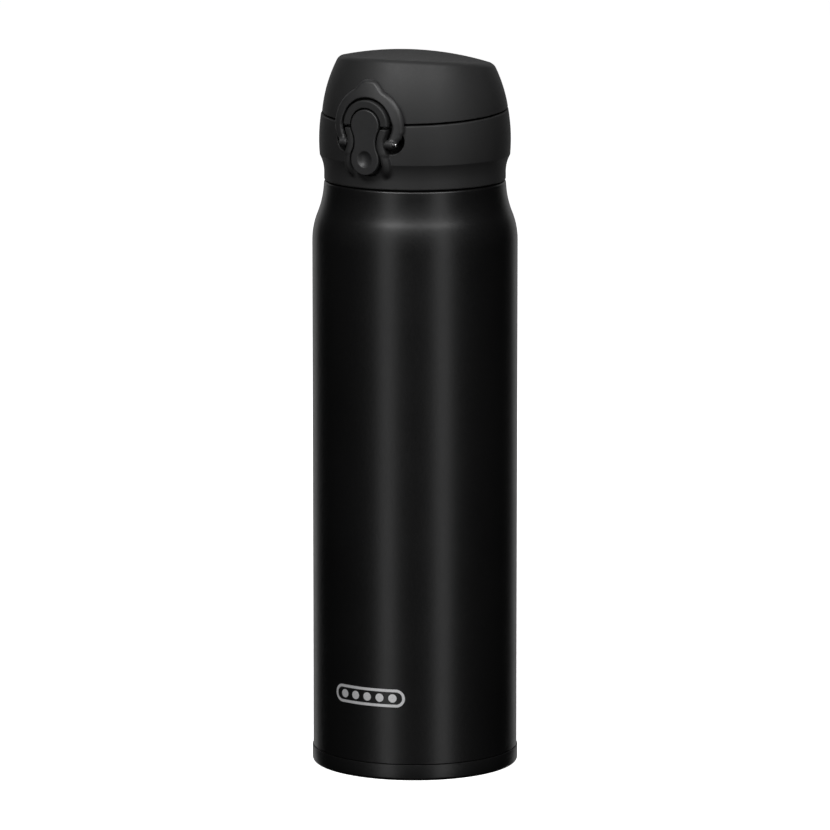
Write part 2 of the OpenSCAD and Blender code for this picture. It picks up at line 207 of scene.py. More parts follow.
def meet(a, b, r):
    """Intersection with a convex edge of radius r."""
    return np.minimum(-r, np.maximum(a, b)) + np.hypot(np.maximum(a + r, 0), np.maximum(b + r, 0))


def cut(a, b, r):
    """a without b, with a convex edge of radius r."""
    return meet(a, -b, r)


def join(a, b, r):
    """Union with a concave fillet of radius r."""
    return np.maximum(r, np.minimum(a, b)) - np.hypot(np.maximum(r - a, 0), np.maximum(r - b, 0))


def slab(v, low, high):
    """The space between two parallel planes."""
    return np.maximum(low - v, v - high)


def rod_field(x, y, z, centre, r, low, high, edge=0.2):
    """A rod along X."""
    return meet(np.hypot(y - centre[0], z - centre[1]) - r, slab(x, low, high), edge)


def gradient(field, p):
    """The field's slope at points, by central differences."""
    reach = 0.02
    out = np.empty_like(p)
    for axis in range(3):
        step = np.zeros(3)
        step[axis] = reach
        a, b = p + step, p - step
        out[:, axis] = (field(*a.T) - field(*b.T)) / (2 * reach)
    return out


def sample(field, low, step, counts):
    """The field on a grid. Blocks far from the surface take their centre's value."""
    block, at_once, margin = 6, 4000, 1.25
    blocks = [-(-c // block) for c in counts]
    mid = [low[a] + step * (block * np.arange(blocks[a]) + (block - 1) / 2) for a in range(3)]
    coarse = field(*np.meshgrid(*mid, indexing="ij"))
    value = coarse
    for axis in range(3):
        value = np.repeat(value, block, axis=axis)
    value = value[:counts[0], :counts[1], :counts[2]].copy()
    near = np.argwhere(np.abs(coarse) < block * step * margin)
    inner = np.stack(np.meshgrid(*[np.arange(block)] * 3, indexing="ij"), -1).reshape(-1, 3)
    for part in np.array_split(near, max(1, len(near) // at_once)):
        index = (part[:, None, :] * block + inner[None]).reshape(-1, 3)
        index = index[(index < counts).all(1)]
        p = np.asarray(low) + step * index
        value[tuple(index.T)] = field(*p.T)
    return value


def surface_net(field, low, high, step):
    """Points, quads and normals of the field's zero level inside a box."""
    low = np.asarray(low, float)
    counts = np.ceil((np.asarray(high) - low) / step).astype(int) + 1
    value = sample(field, low, step, counts)
    inside = value < 0
    shape = tuple(counts - 1)
    corner = [(i, j, k) for i in (0, 1) for j in (0, 1) for k in (0, 1)]
    count = np.zeros(shape, np.int8)
    for i, j, k in corner:
        count += inside[i:shape[0] + i, j:shape[1] + j, k:shape[2] + k]
    cells = np.argwhere((count > 0) & (count < 8))
    at = {c: value[tuple((cells + c).T)] for c in corner}
    total, hits = np.zeros((len(cells), 3)), np.zeros(len(cells))
    for a in corner:
        for axis in range(3):
            if a[axis]:
                continue
            b = tuple(v + (n == axis) for n, v in enumerate(a))
            crossed = (at[a] < 0) != (at[b] < 0)
            share = at[a][crossed] / (at[a][crossed] - at[b][crossed])
            place = np.tile(np.array(a, float), (crossed.sum(), 1))
            place[:, axis] += share
            total[crossed] += place
            hits[crossed] += 1
    points = low + step * (cells + total / hits[:, None])
    for _ in range(3):
        slope = gradient(field, points)
        move = -field(*points.T)[:, None] * slope / np.maximum((slope ** 2).sum(1), 0.25)[:, None]
        size = np.linalg.norm(move, axis=1)[:, None]
        points += move * np.minimum(1, 0.5 * step / np.maximum(size, 1e-9))
    label = -np.ones(shape, np.int64)
    label[tuple(cells.T)] = np.arange(len(cells))
    quads = []
    for axis in range(3):
        u, v = (axis + 1) % 3, (axis + 2) % 3
        one = [slice(None)] * 3
        two = [slice(None)] * 3
        one[axis], two[axis] = slice(0, -1), slice(1, None)
        first, second = inside[tuple(one)], inside[tuple(two)]
        edge = np.argwhere(first != second)
        edge = edge[(edge[:, u] > 0) & (edge[:, v] > 0) & (edge[:, u] < shape[u])
                    & (edge[:, v] < shape[v])]
        around = []
        for du, dv in ((1, 1), (0, 1), (0, 0), (1, 0)):
            spot = edge.copy()
            spot[:, u] -= du
            spot[:, v] -= dv
            around.append(label[tuple(spot.T)])
        quad = np.stack(around, 1)
        outward = first[tuple(edge.T)]
        quad[~outward] = quad[~outward][:, ::-1]
        quads.append(quad)
    quads = np.concatenate(quads)
    slope = gradient(field, points)
    normals = slope / np.maximum(np.linalg.norm(slope, axis=1), 1e-9)[:, None]
    return points, quads, normals


def moulded(name, field, low, high, step, body, material, replaces):
    """A piece from a distance field, with the field's own normals."""
    points, quads, normals = surface_net(field, low, high, step)
    mesh = bpy.data.meshes.new(name)
    mesh.from_pydata((points * MM).tolist(), [], quads.tolist())
    mesh.polygons.foreach_set("use_smooth", np.ones(len(mesh.polygons), bool))
    mesh.normals_split_custom_set_from_vertices(normals.tolist())
    mesh.update()
    finish_mesh(name, mesh, body, material, replaces)


# ------------------------------------------------------------------ materials


class Nodes:
    """A material's node tree, with short calls for the nodes used here."""

    def __init__(self, name):
        self.material = bpy.data.materials.new(name)
        self.material.use_nodes = True
        self.tree = self.material.node_tree
        self.shader = self.tree.nodes["Principled BSDF"]
        self.place = self.add("ShaderNodeTexCoord").outputs["Object"]

    def add(self, kind, **values):
        """A new node. A value is a property of that name or else an input's constant."""
        node = self.tree.nodes.new(kind)
        for key, value in values.items():
            if hasattr(node, key):
                setattr(node, key, value)
            else:
                node.inputs[key].default_value = value
        return node

    def link(self, output, socket):
        self.tree.links.new(output, socket)

    def set(self, **values):
        """Sets the shader's constants, with _ for a space in a socket's name."""
        for key, value in values.items():
            self.shader.inputs[key.replace("_", " ")].default_value = value

    def scaled(self, scale):
        """Object coordinates times a scale of one or three numbers, per mm."""
        node = self.add("ShaderNodeMapping")
        three = (scale,) * 3 if isinstance(scale, (int, float)) else scale
        node.inputs["Scale"].default_value = [s / MM for s in three]
        self.link(self.place, node.inputs["Vector"])
        return node.outputs["Vector"]

    def noise(self, scale, detail=3.0, rough=0.55):
        """Noise from 0 to 1, with its scale per mm."""
        node = self.add("ShaderNodeTexNoise", Scale=1.0, Detail=detail, Roughness=rough)
        self.link(self.scaled(scale), node.inputs["Vector"])
        return node.outputs["Fac"]

    def cells(self, scale, feature="F1"):
        """A node that splits space into cells, with its scale per mm."""
        node = self.add("ShaderNodeTexVoronoi", feature=feature, Scale=1.0)
        self.link(self.scaled(scale), node.inputs["Vector"])
        return node

    def ramp(self, value, low, high, start=0.3, end=0.7):
        """Maps a value from start..end to low..high, which are numbers or colours."""
        if isinstance(low, (int, float)):
            node = self.add("ShaderNodeMapRange")
            for key, number in (("From Min", start), ("From Max", end),
                                ("To Min", low), ("To Max", high)):
                node.inputs[key].default_value = number
            self.link(value, node.inputs["Value"])
            return node.outputs["Result"]
        node = self.add("ShaderNodeValToRGB")
        node.color_ramp.elements[0].position = start
        node.color_ramp.elements[1].position = end
        node.color_ramp.elements[0].color = (*low, 1)
        node.color_ramp.elements[1].color = (*high, 1)
        self.link(value, node.inputs["Fac"])
        return node.outputs["Color"]

    def bump(self, height, distance, strength=1.0, under=None):
        """A bump whose full height is a distance in mm."""
        node = self.add("ShaderNodeBump", Strength=strength, Distance=distance * MM)
        self.link(height, node.inputs["Height"])
        if under is not None:
            self.link(under, node.inputs["Normal"])
        return node.outputs["Normal"]


def body_paint():
    """Satin black coat over steel: orange peel, and a fine metallic grain that catches light."""
    n = Nodes("body_paint")
    broad = n.noise(0.02, 2)
    fleck = n.cells(4.5)
    grain = n.noise(6.0, 2, 0.7)
    n.link(n.ramp(broad, (0.0065, 0.0065, 0.0067), (0.0090, 0.0090, 0.0092)),
           n.shader.inputs["Base Color"])
    spark = n.ramp(fleck.outputs["Color"], 0.30, 0.43, 0.2, 0.95)
    drift = n.noise(0.06, 3)
    mix = n.add("ShaderNodeMath", operation="ADD")
    n.link(spark, mix.inputs[0])
    n.link(n.ramp(drift, -0.015, 0.015), mix.inputs[1])
    n.link(mix.outputs["Value"], n.shader.inputs["Roughness"])
    peel = n.bump(n.noise(0.55, 2), 0.012)
    n.link(n.bump(grain, 0.012, 1.0, peel), n.shader.inputs["Normal"])
    n.set(Metallic=0.35, Coat_Weight=0.25, Coat_Roughness=0.28, IOR=1.5)
    return n.material


def cover_plastic():
    """Matte black moulding with a spark-eroded texture, and painted shade: the ring's recesses are painted
    near-black and made fully rough.
    """
    n = Nodes("cover_plastic")
    broad = n.noise(0.05, 3)
    axes = n.add("ShaderNodeSeparateXYZ")
    n.link(n.scaled(1.0), axes.inputs["Vector"])

    def maths(operation, a, b=None):
        """A sum on numbers or on other nodes' outputs."""
        node = n.add("ShaderNodeMath", operation=operation)
        for socket, value in zip(node.inputs, (a, b)):
            if isinstance(value, (int, float)):
                socket.default_value = value
            elif value is not None:
                n.link(value, socket)
        return node.outputs["Value"]

    # painted shade: how deep a point lies under the collar's face and how near the recess's centre it is give a
    # mask that paints the recesses darker
    x, y, z = (axes.outputs[k] for k in "XYZ")
    rho = maths("SQRT", maths("ADD", maths("MULTIPLY", x, x), maths("MULTIPLY", y, y)))
    deep = n.ramp(rho, 1.0, 0.0, CAP_R - 1.2, CAP_R - 0.3)
    across = maths("SUBTRACT", maths("ABSOLUTE", x), RECESS_X)
    up = maths("SUBTRACT", z, RECESS_Z)
    away = maths("SQRT", maths("ADD", maths("MULTIPLY", across, across),
                               maths("MULTIPLY", up, up)))
    painted_shade = maths("MULTIPLY", deep, n.ramp(away, 1.0, 0.0, RECESS_R + 0.2, RECESS_R + 0.6))
    painted_shade = maths("MULTIPLY", painted_shade, maths("LESS_THAN", y, 0.0))
    colour = n.ramp(broad, (0.0180, 0.0180, 0.0182), (0.0215, 0.0215, 0.0217))
    mix = n.add("ShaderNodeMix", data_type="RGBA")
    n.link(painted_shade, mix.inputs[0])
    n.link(colour, mix.inputs[6])
    # the near-black colour painted into the recesses as shade
    mix.inputs[7].default_value = (0.0015, 0.0015, 0.0015, 1)
    n.link(mix.outputs[2], n.shader.inputs["Base Color"])
    fine = n.noise(5.0, 3, 0.65)
    # where the shade is painted the roughness rises to 1, so the recesses show no highlight
    rough = maths("MAXIMUM", n.ramp(n.noise(1.2, 3), 0.50, 0.58), painted_shade)
    n.link(rough, n.shader.inputs["Roughness"])
    n.link(n.bump(fine, 0.010), n.shader.inputs["Normal"])
    n.set(IOR=1.49, Specular_IOR_Level=0.36)
    return n.material


def latch_plastic():
    """Satin black moulding, smoother than the covers."""
    n = Nodes("latch_plastic")
    n.link(n.ramp(n.noise(0.09, 3), (0.019, 0.019, 0.0195), (0.0235, 0.0235, 0.024)),
           n.shader.inputs["Base Color"])
    n.link(n.ramp(n.noise(1.6, 3), 0.42, 0.50), n.shader.inputs["Roughness"])
    n.link(n.bump(n.noise(6.0, 2), 0.006), n.shader.inputs["Normal"])
    n.set(IOR=1.5)
    return n.material


def inner_plastic():
    """Smooth satin dark moulding inside the cap."""
    n = Nodes("inner_plastic")
    n.link(n.ramp(n.noise(0.12, 3), (0.028, 0.028, 0.030), (0.036, 0.036, 0.038)),
           n.shader.inputs["Base Color"])
    n.link(n.ramp(n.noise(0.8, 3), 0.36, 0.44), n.shader.inputs["Roughness"])
    n.link(n.bump(n.noise(4.0, 2), 0.004), n.shader.inputs["Normal"])
    return n.material


def silicone():
    """Grey-white rubber that lets some light in."""
    n = Nodes("silicone")
    n.link(n.ramp(n.noise(0.2, 3), (0.55, 0.55, 0.53), (0.60, 0.60, 0.58)),
           n.shader.inputs["Base Color"])
    n.link(n.ramp(n.noise(1.5, 3), 0.42, 0.55), n.shader.inputs["Roughness"])
    n.link(n.bump(n.noise(3.0, 2), 0.01), n.shader.inputs["Normal"])
    n.set(Subsurface_Weight=0.25, Subsurface_Scale=0.002)
    return n.material


def bare_steel():
    """Electropolished steel with faint rings from turning."""
    n = Nodes("bare_steel")
    n.link(n.ramp(n.noise(0.04, 3), (0.56, 0.55, 0.53), (0.66, 0.65, 0.63)),
           n.shader.inputs["Base Color"])
    rings = n.noise((0.05, 0.05, 9.0), 2)
    n.link(n.ramp(rings, 0.16, 0.30), n.shader.inputs["Roughness"])
    n.link(n.bump(rings, 0.004), n.shader.inputs["Normal"])
    n.set(Metallic=1.0)
    return n.material


def pin_steel():
    """Ground pins, with grinding marks round them."""
    n = Nodes("pin_steel")
    n.link(n.ramp(n.noise(0.4, 3), (0.60, 0.60, 0.60), (0.70, 0.70, 0.70)),
           n.shader.inputs["Base Color"])
    marks = n.noise((14.0, 0.6, 0.6), 2)
    n.link(n.ramp(marks, 0.12, 0.24), n.shader.inputs["Roughness"])
    n.link(n.bump(marks, 0.003), n.shader.inputs["Normal"])
    n.set(Metallic=1.0)
    return n.material


def spring_steel():
    """Drawn wire, slightly darker than the pins."""
    n = Nodes("spring_steel")
    n.link(n.ramp(n.noise(0.9, 3), (0.46, 0.46, 0.47), (0.58, 0.58, 0.59)),
           n.shader.inputs["Base Color"])
    n.link(n.ramp(n.noise(3.0, 3), 0.20, 0.36), n.shader.inputs["Roughness"])
    n.link(n.bump(n.noise(8.0, 2), 0.003), n.shader.inputs["Normal"])
    n.set(Metallic=1.0)
    return n.material


def copper_foil():
    """Thin foil with small creases."""
    n = Nodes("copper_foil")
    n.link(n.ramp(n.noise(0.1, 4), (0.62, 0.36, 0.24), (0.78, 0.48, 0.33)),
           n.shader.inputs["Base Color"])
    crease = n.cells(0.22, "DISTANCE_TO_EDGE").outputs["Distance"]
    n.link(n.ramp(n.noise(0.9, 3), 0.18, 0.34), n.shader.inputs["Roughness"])
    n.link(n.bump(crease, 0.12), n.shader.inputs["Normal"])
    n.set(Metallic=1.0)
    return n.material


def braze():
    """A bead of solidified glass solder, glossy with small pits."""
    n = Nodes("braze")
    n.link(n.ramp(n.noise(0.9, 4), (0.50, 0.46, 0.32), (0.66, 0.62, 0.47)),
           n.shader.inputs["Base Color"])
    n.link(n.ramp(n.noise(2.0, 3), 0.12, 0.35), n.shader.inputs["Roughness"])
    n.link(n.bump(n.noise(1.6, 3), 0.06), n.shader.inputs["Normal"])
    return n.material


def getter_metal():
    """A pressed grey pill."""
    n = Nodes("getter_metal")
    n.link(n.ramp(n.noise(1.5, 4), (0.16, 0.16, 0.16), (0.26, 0.26, 0.25)),
           n.shader.inputs["Base Color"])
    n.link(n.ramp(n.noise(2.5, 3), 0.6, 0.8), n.shader.inputs["Roughness"])
    n.link(n.bump(n.noise(4.0, 4, 0.7), 0.05), n.shader.inputs["Normal"])
    n.set(Metallic=0.5)
    return n.material


def label():
    """A blank silver-grey sticker with a brushed look."""
    n = Nodes("label")
    n.link(n.ramp(n.noise((0.08, 4.0, 1.0), 3), (0.42, 0.42, 0.43), (0.54, 0.54, 0.55)),
           n.shader.inputs["Base Color"])
    n.link(n.ramp(n.noise((0.2, 9.0, 1.0), 2), 0.30, 0.42), n.shader.inputs["Roughness"])
    n.link(n.bump(n.noise(2.0, 2), 0.006), n.shader.inputs["Normal"])
    n.set(Metallic=0.55)
    return n.material


def print_silver():
    """Silver ink of the generic mark on the body."""
    n = Nodes("print_silver")
    n.link(n.ramp(n.noise(1.5, 3), (0.72, 0.72, 0.73), (0.82, 0.82, 0.83)),
           n.shader.inputs["Base Color"])
    n.link(n.ramp(n.noise(5.0, 3), 0.44, 0.56), n.shader.inputs["Roughness"])
    n.link(n.bump(n.noise(6.0, 2), 0.006), n.shader.inputs["Normal"])
    n.set(Metallic=0.5)
    return n.material


MATERIALS = {make.__name__: make() for make in (
    body_paint, cover_plastic, latch_plastic, inner_plastic, silicone, bare_steel, pin_steel,
    spring_steel, copper_foil, braze, getter_metal, label, print_silver)}


def dress_cad_nodes():
    """Gives every CAD node the material of its slot in the record."""
    slots = {part["node"]: part["material_slot"] for part in frame["record"]["subparts"]}
    for name, thing in frame["nodes"].items():
        thing.data.materials.clear()
        thing.data.materials.append(MATERIALS[slots[name]])


# ------------------------------------------------------------------ bottle


def bottle_outline():
    """Outside of the shell from the foot to the lip, as (radius, z).

    The shoulder curves in, a hollow sweep leads from it up to a rolled rim under the cap, and
    the narrower neck stands inside that rim.
    """
    foot_r, foot_z, body_z = BODY_R - 0.4, 2, 5.8
    shoulder_z = NECK_Z - 20.5
    bulge, bulge_r, bulge_a = (BODY_R - 25, shoulder_z), 25, 22
    sweep_r, sweep_a, rim_r = 30, 5, 0.8
    reach = bulge_r + sweep_r
    sweep = (bulge[0] + reach * math.cos(math.radians(bulge_a)),
             bulge[1] + reach * math.sin(math.radians(bulge_a)))
    slope = math.radians(sweep_a)
    end = (sweep[0] - sweep_r * math.cos(slope), sweep[1] - sweep_r * math.sin(slope))
    rim_z = NECK_Z - rim_r
    rim_x = end[0] - (rim_z + rim_r * math.sin(slope) - end[1]) * math.tan(slope) \
        - rim_r * math.cos(slope)
    neck_r, fillet, lip_z = 22.4, 1.2, NECK_Z + 13
    straight = [(BODY_R, z) for z in np.linspace(body_z, shoulder_z, 24)]
    return ([(foot_r, foot_z), (foot_r, body_z - 0.4)] + straight
            + bend(bulge, bulge_r, 0, bulge_a, 16)[1:]
            + bend(sweep, sweep_r, 180 + bulge_a, 180 + sweep_a, 16)
            + bend((rim_x, rim_z), rim_r, sweep_a, 90, 8)
            + bend((neck_r + fillet, NECK_Z + fillet), fillet, 270, 180, 6)
            + [(neck_r, lip_z)])


def thread_ridge(root, crest, start, turns=1.5, pitch=4.0):
    """A screw thread's ridge, fading in and out at its ends."""
    steps, fade = 150, 12
    points, faces = [], []
    section = [(0, -0.85), (0.75, -0.5), (1, -0.28), (1, 0.28), (0.75, 0.5), (0, 0.85)]
    for i in range(steps + 1):
        a = 2 * math.pi * turns * i / steps
        grow = min(1, 0.12 + min(i, steps - i) / fade)
        for share, rise in section:
            r = root + (crest - root) * share * grow
            points.append((r * math.cos(a), r * math.sin(a), start + pitch * a / 2 / math.pi + rise))
    count = len(section)
    for i in range(steps):
        for k in range(count):
            here, after = i * count + k, i * count + (k + 1) % count
            faces.append((here, here + count, after + count, after) if crest > root
                         else (here, after, after + count, here + count))
    last = steps * count
    faces += [tuple(range(count)), tuple(range(last + count - 1, last - 1, -1))]
    return np.array(points), faces


def build_bottle():
    """The painted outer shell, with the thread on its neck."""
    outer = bottle_outline()
    inner = [(r - STEEL, z) for r, z in outer]
    points, faces = lathe(outer + inner[::-1], 256)
    thread_root, thread_crest, thread_z = 22.2, 23.6, NECK_Z + 3
    ridge, ridge_faces = thread_ridge(thread_root, thread_crest, thread_z)
    faces = faces + [tuple(k + len(points) for k in face) for face in ridge_faces]
    mesh = mesh_of("flask_body", np.concatenate([points, ridge]), faces, 40)
    finish_mesh("flask_body", mesh, "bottle", MATERIALS["body_paint"],
                ["outer_shell"])


def build_base():
    """The base cover: a pressed cup whose edge stands a little proud of the body."""
    high = corners("base_cover")[1]
    ring_r, cover_z, corner, recess = high[0], high[2], 1.1, 1.3
    outline = ([(0, recess), (27.4, recess), (28.1, 1.05), (28.9, 0.25), (29.4, 0)]
               + bend((ring_r - corner, corner), corner, 270, 360, 8)
               + [(ring_r, cover_z - 0.2), (ring_r - 0.06, cover_z - 0.06),
                  (ring_r - 0.2, cover_z), (ring_r - STEEL, cover_z)]
               + bend((ring_r - corner, corner), corner - STEEL, 360, 270, 6)
               + [(29.6, STEEL), (28.3, recess + STEEL), (0, recess + STEEL)])
    points, faces = lathe(outline, 256)
    mesh = mesh_of("base_cover_pressed", points, faces, 35)
    finish_mesh("base_cover_pressed", mesh, "bottle", MATERIALS["body_paint"],
                ["base_cover"])


def build_mark():
    """A generic printed mark: five dots in a capsule outline, thin ink on the body."""
    low_z, tall, wide, middle_x = 25.4, 6.2, 27.0, 1.4
    line, dot, dot_gap, hub_r = 0.95, 1.45, 4.6, 0.05
    middle_z = low_z + tall / 2
    skin, ink = BODY_R + 0.02, 0.03
    points, faces = [], []

    def patch(first, second):
        """A strip between two loops or polylines of (x, z), wrapped on the body."""
        start, count = len(points), len(first)
        for depth in (skin, skin + ink):
            for path in (first, second):
                for x, z in path:
                    a = (x + middle_x) / BODY_R - math.pi / 2
                    points.append((depth * math.cos(a), depth * math.sin(a), z + middle_z))
        up = 2 * count
        for k in range(count - 1):
            a, b = start + k, start + k + 1
            c, d = a + count, b + count
            faces.extend([(a, c, d, b), (a + up, b + up, d + up, c + up),
                          (a, b, b + up, a + up), (c, c + up, d + up, d)])

    def capsule(half, r):
        """A closed loop round a capsule, starting at its right end."""
        straight = np.linspace(half, -half, 15)[1:-1]
        loop = []
        for start, end, side in ((0, 90, half), (90, 270, -half), (270, 360, half)):
            turn = np.radians(np.linspace(start, end, (end - start) // 8 + 1))
            loop += [(side + r * math.cos(a), r * math.sin(a)) for a in turn]
            if side == half and start == 0:
                loop += [(x, r) for x in straight]
            elif side == -half:
                loop += [(-x, -r) for x in straight]
        return loop

    half = (wide - tall) / 2
    patch(capsule(half, tall / 2 - line), capsule(half, tall / 2))
    turn = np.linspace(0, 2 * math.pi, 33)
    for n in range(-2, 3):
        hub, rim = ([(n * dot_gap + r * math.cos(a), r * math.sin(a)) for a in turn]
                    for r in (hub_r, dot))
        patch(hub, rim)
    points, faces = weld(np.array(points), faces)
    mesh = mesh_of("print_mark", points, faces, 30)
    finish_mesh("print_mark", mesh, "bottle", MATERIALS["print_silver"], [])


# ------------------------------------------------------------------ moulded fields


def bore_r(pin):
    """Radius of the bore that a pin turns in."""
    low, high = corners(pin)
    clearance = 0.06
    return (high[1] - low[1]) / 2 + clearance


def seam_height(y, z):
    """Distance above the parting plane."""
    return (z - SEAM_Z) * math.cos(SEAM_TILT) - y * math.sin(SEAM_TILT)


def keyhole(x, z, grow=0.0):
    """The button's outline: two round ends joined by concave arcs."""
    half = (TOP_C - LOW_C) / 2
    arc = (half ** 2 + WAIST ** 2 - END_R ** 2) / (2 * (END_R - WAIST))
    side = arc + WAIST
    ax, az = np.abs(x), np.abs(z - (TOP_C + LOW_C) / 2)
    ends = np.hypot(ax, az - half) - END_R
    waist = arc - np.hypot(ax - side, az)
    return np.where(az * side < half * (side - ax), waist, ends) - grow


def collar_radius(z):
    """Outside radius of the collar against height."""
    widest, arc = NECK_Z + 14, 60
    band, foot_z, crease_z, sweep = CAP_R - 1.7, NECK_Z + 2.9, NECK_Z + 9, 13
    upper = CAP_R - arc + np.sqrt(arc ** 2 - (z - widest) ** 2)
    low = band + sweep - np.sqrt(sweep ** 2 - np.clip(z - foot_z, 0, sweep - 0.1) ** 2)
    return np.where(z < crease_z + 0.6, np.minimum(low, upper), upper)


def rounded(path):
    """A path with its corners cut twice."""
    path = np.asarray(path, float)
    for _ in range(2):
        near, far = path[:-1] * 0.75 + path[1:] * 0.25, path[:-1] * 0.25 + path[1:] * 0.75
        path = np.concatenate([path[:1], np.stack([near, far], 1).reshape(-1, path.shape[1]),
                               path[-1:]])
    return path


# |x|, y, z and radius along a rib, from under the lip down to the foot of the collar
RIB = rounded([(6.0, -31.5, TOP_C - 1.5, 1.8), (5.5, -31.8, TOP_C - 4.0, 1.7),
               (5.5, -32.1, TOP_C - 7.0, 1.65), (6.3, -32.3, LOW_C + 1.6, 1.6),
               (7.3, -31.9, LOW_C - 1.2, 1.6), (7.1, -31.0, LOW_C - 3.8, 1.5),
               (5.6, -29.0, LOW_C - 6.0, 1.2)])


def rib_field(x, y, z):
    """The rib beside the button on each side: from the flank down and outwards into the wall."""
    near = (np.abs(x) < 13) & (y < -24) & (z > LOW_C - 10) & (z < TOP_C + 3)
    p = np.stack([np.abs(x[near]), y[near], z[near]], -1)
    nearest = np.full(len(p), 1e3)
    for start, end in zip(RIB[:-1], RIB[1:]):
        along = end[:3] - start[:3]
        away = p - start[:3]
        t = np.clip(away @ along / along.dot(along), 0, 1)
        d = np.linalg.norm(away - t[:, None] * along, axis=1) - start[3] - t * (end[3] - start[3])
        nearest = np.minimum(nearest, d)
    result = np.full(np.shape(x), 1e3)
    result[near] = nearest
    return result


def soft_min(a, b, k):
    """Union with a soft blend over a width k."""
    h = np.maximum(k - np.abs(a - b), 0) / k
    return np.minimum(a, b) - h * h * k / 4


def collar_field(x, y, z):
    """The collar: a bowed wall with the latch's housing in front and the hinge's ears behind."""
    rho = np.hypot(x, y)
    ax = np.abs(x)
    wall = meet(rho - collar_radius(z), NECK_Z + 0.4 - z, 0.45)
    # flanks: the keyhole grown sideways, flat in front and cut level under the lip
    flank = meet(keyhole(x, z, FLANK), FRAME_Y - y, 0.5)
    flank = np.maximum(flank, y + 28)
    flank = meet(flank, LOW_C + 1.5 - z, 1.0)
    flank = meet(flank, z - LIP_Z, 0.3)
    # a floor for the pocket behind the button's lower end
    block = meet(meet(slab(x, -9.5, 9.5), slab(y, -29.2, -27.25), 0.3),
                 slab(z, NECK_Z + 3.5, DECK_Z), 0.3)
    rib = rib_field(x, y, z)
    housing = join(flank, rib, 1.0)
    housing = join(wall, housing, 0.6)
    solid = np.where(z > LIP_Z, wall, housing)
    # hollow inside, with the ledge that carries the deck
    hollow = np.minimum(np.maximum(rho - (CAP_R - 3.6), z - DECK_Z),
                        np.maximum(rho - (CAP_R - 2.15), DECK_Z - z))
    solid = np.maximum(solid, -hollow)
    # the wall is thicker behind the latch
    pad = np.maximum(meet(ax - 9.8, CAP_R - 3.1 - rho, 0.4), slab(z, DECK_Z - 0.3, SEAM_Z))
    pad = np.maximum(np.maximum(pad, rho - CAP_R + 1.0), y)
    solid = np.minimum(solid, np.minimum(block, pad))
    # parting plane
    solid = meet(solid, seam_height(y, z) + SEAM_GAP / 2, 0.35)
    # pocket and slit round the button, deeper below the pin so that the button can rock
    shallow_y, deep_y = -(CAP_R - 1.5), -(CAP_R - 3.2)
    shallow = meet(keyhole(x, z, SLIT), y - shallow_y, 0.2)
    deep = np.maximum(meet(keyhole(x, z, SLIT), y - deep_y, 0.2), z - ROCK_Z - 1.9)
    solid = cut(solid, np.minimum(shallow, deep), 0.22)
    # round recesses for the ring's feet, outside the flanks and ribs
    floor = CAP_R - np.where(z < DECK_Z - 0.4, 3.2, 1.5)
    room = meet(np.hypot(ax - RECESS_X, z - RECESS_Z) - RECESS_R, floor - rho, 0.5)
    beside = np.minimum(keyhole(x, z, FLANK + 0.05), rib - 0.05)
    room = np.maximum(np.maximum(room, -beside), y)
    # and a groove behind the gap between the flanks and the lip
    groove = np.maximum(slab(z, LIP_Z - 0.02, LIP_Z + 1.8), ax - 8.7)
    groove = np.maximum(np.maximum(groove, CAP_R - 1.9 - rho), y)
    solid = cut(solid, np.minimum(room, groove), 0.25)
    # notch for the hinge, and the collar's own knuckles
    notch = np.maximum(np.hypot(y - HINGE_Y, z - HINGE_Z) - KNUCKLE_R - 0.3,
                       ax - COLLAR_KNUCKLE[0])
    solid = cut(solid, notch, 0.2)
    knuckle = rod_field(ax, y, z, (HINGE_Y, HINGE_Z), KNUCKLE_R, *COLLAR_KNUCKLE, 0.25)
    web = meet(meet(slab(ax, *COLLAR_KNUCKLE), slab(y, CAP_R - 2.4, CAP_R + 0.9), 0.2),
               slab(z, HINGE_Z - KNUCKLE_R, HINGE_Z + KNUCKLE_R), 0.2)
    solid = join(solid, np.minimum(knuckle, web), 0.4)
    return np.maximum(solid, seam_height(y, z) + SEAM_GAP / 2)


def lid_side(x, y, z, inset=0.0):
    """The lid's leaning side, an arc turned about a tilted axis."""
    lean, shift = math.radians(6), 0.2
    u, v = y + shift, z - SEAM_Z
    across = u * math.cos(lean) + v * math.sin(lean)
    up = v * math.cos(lean) - u * math.sin(lean)
    return np.hypot(np.hypot(x, across) - (CAP_R - 50.6), up + 6.3) - (50 - inset)


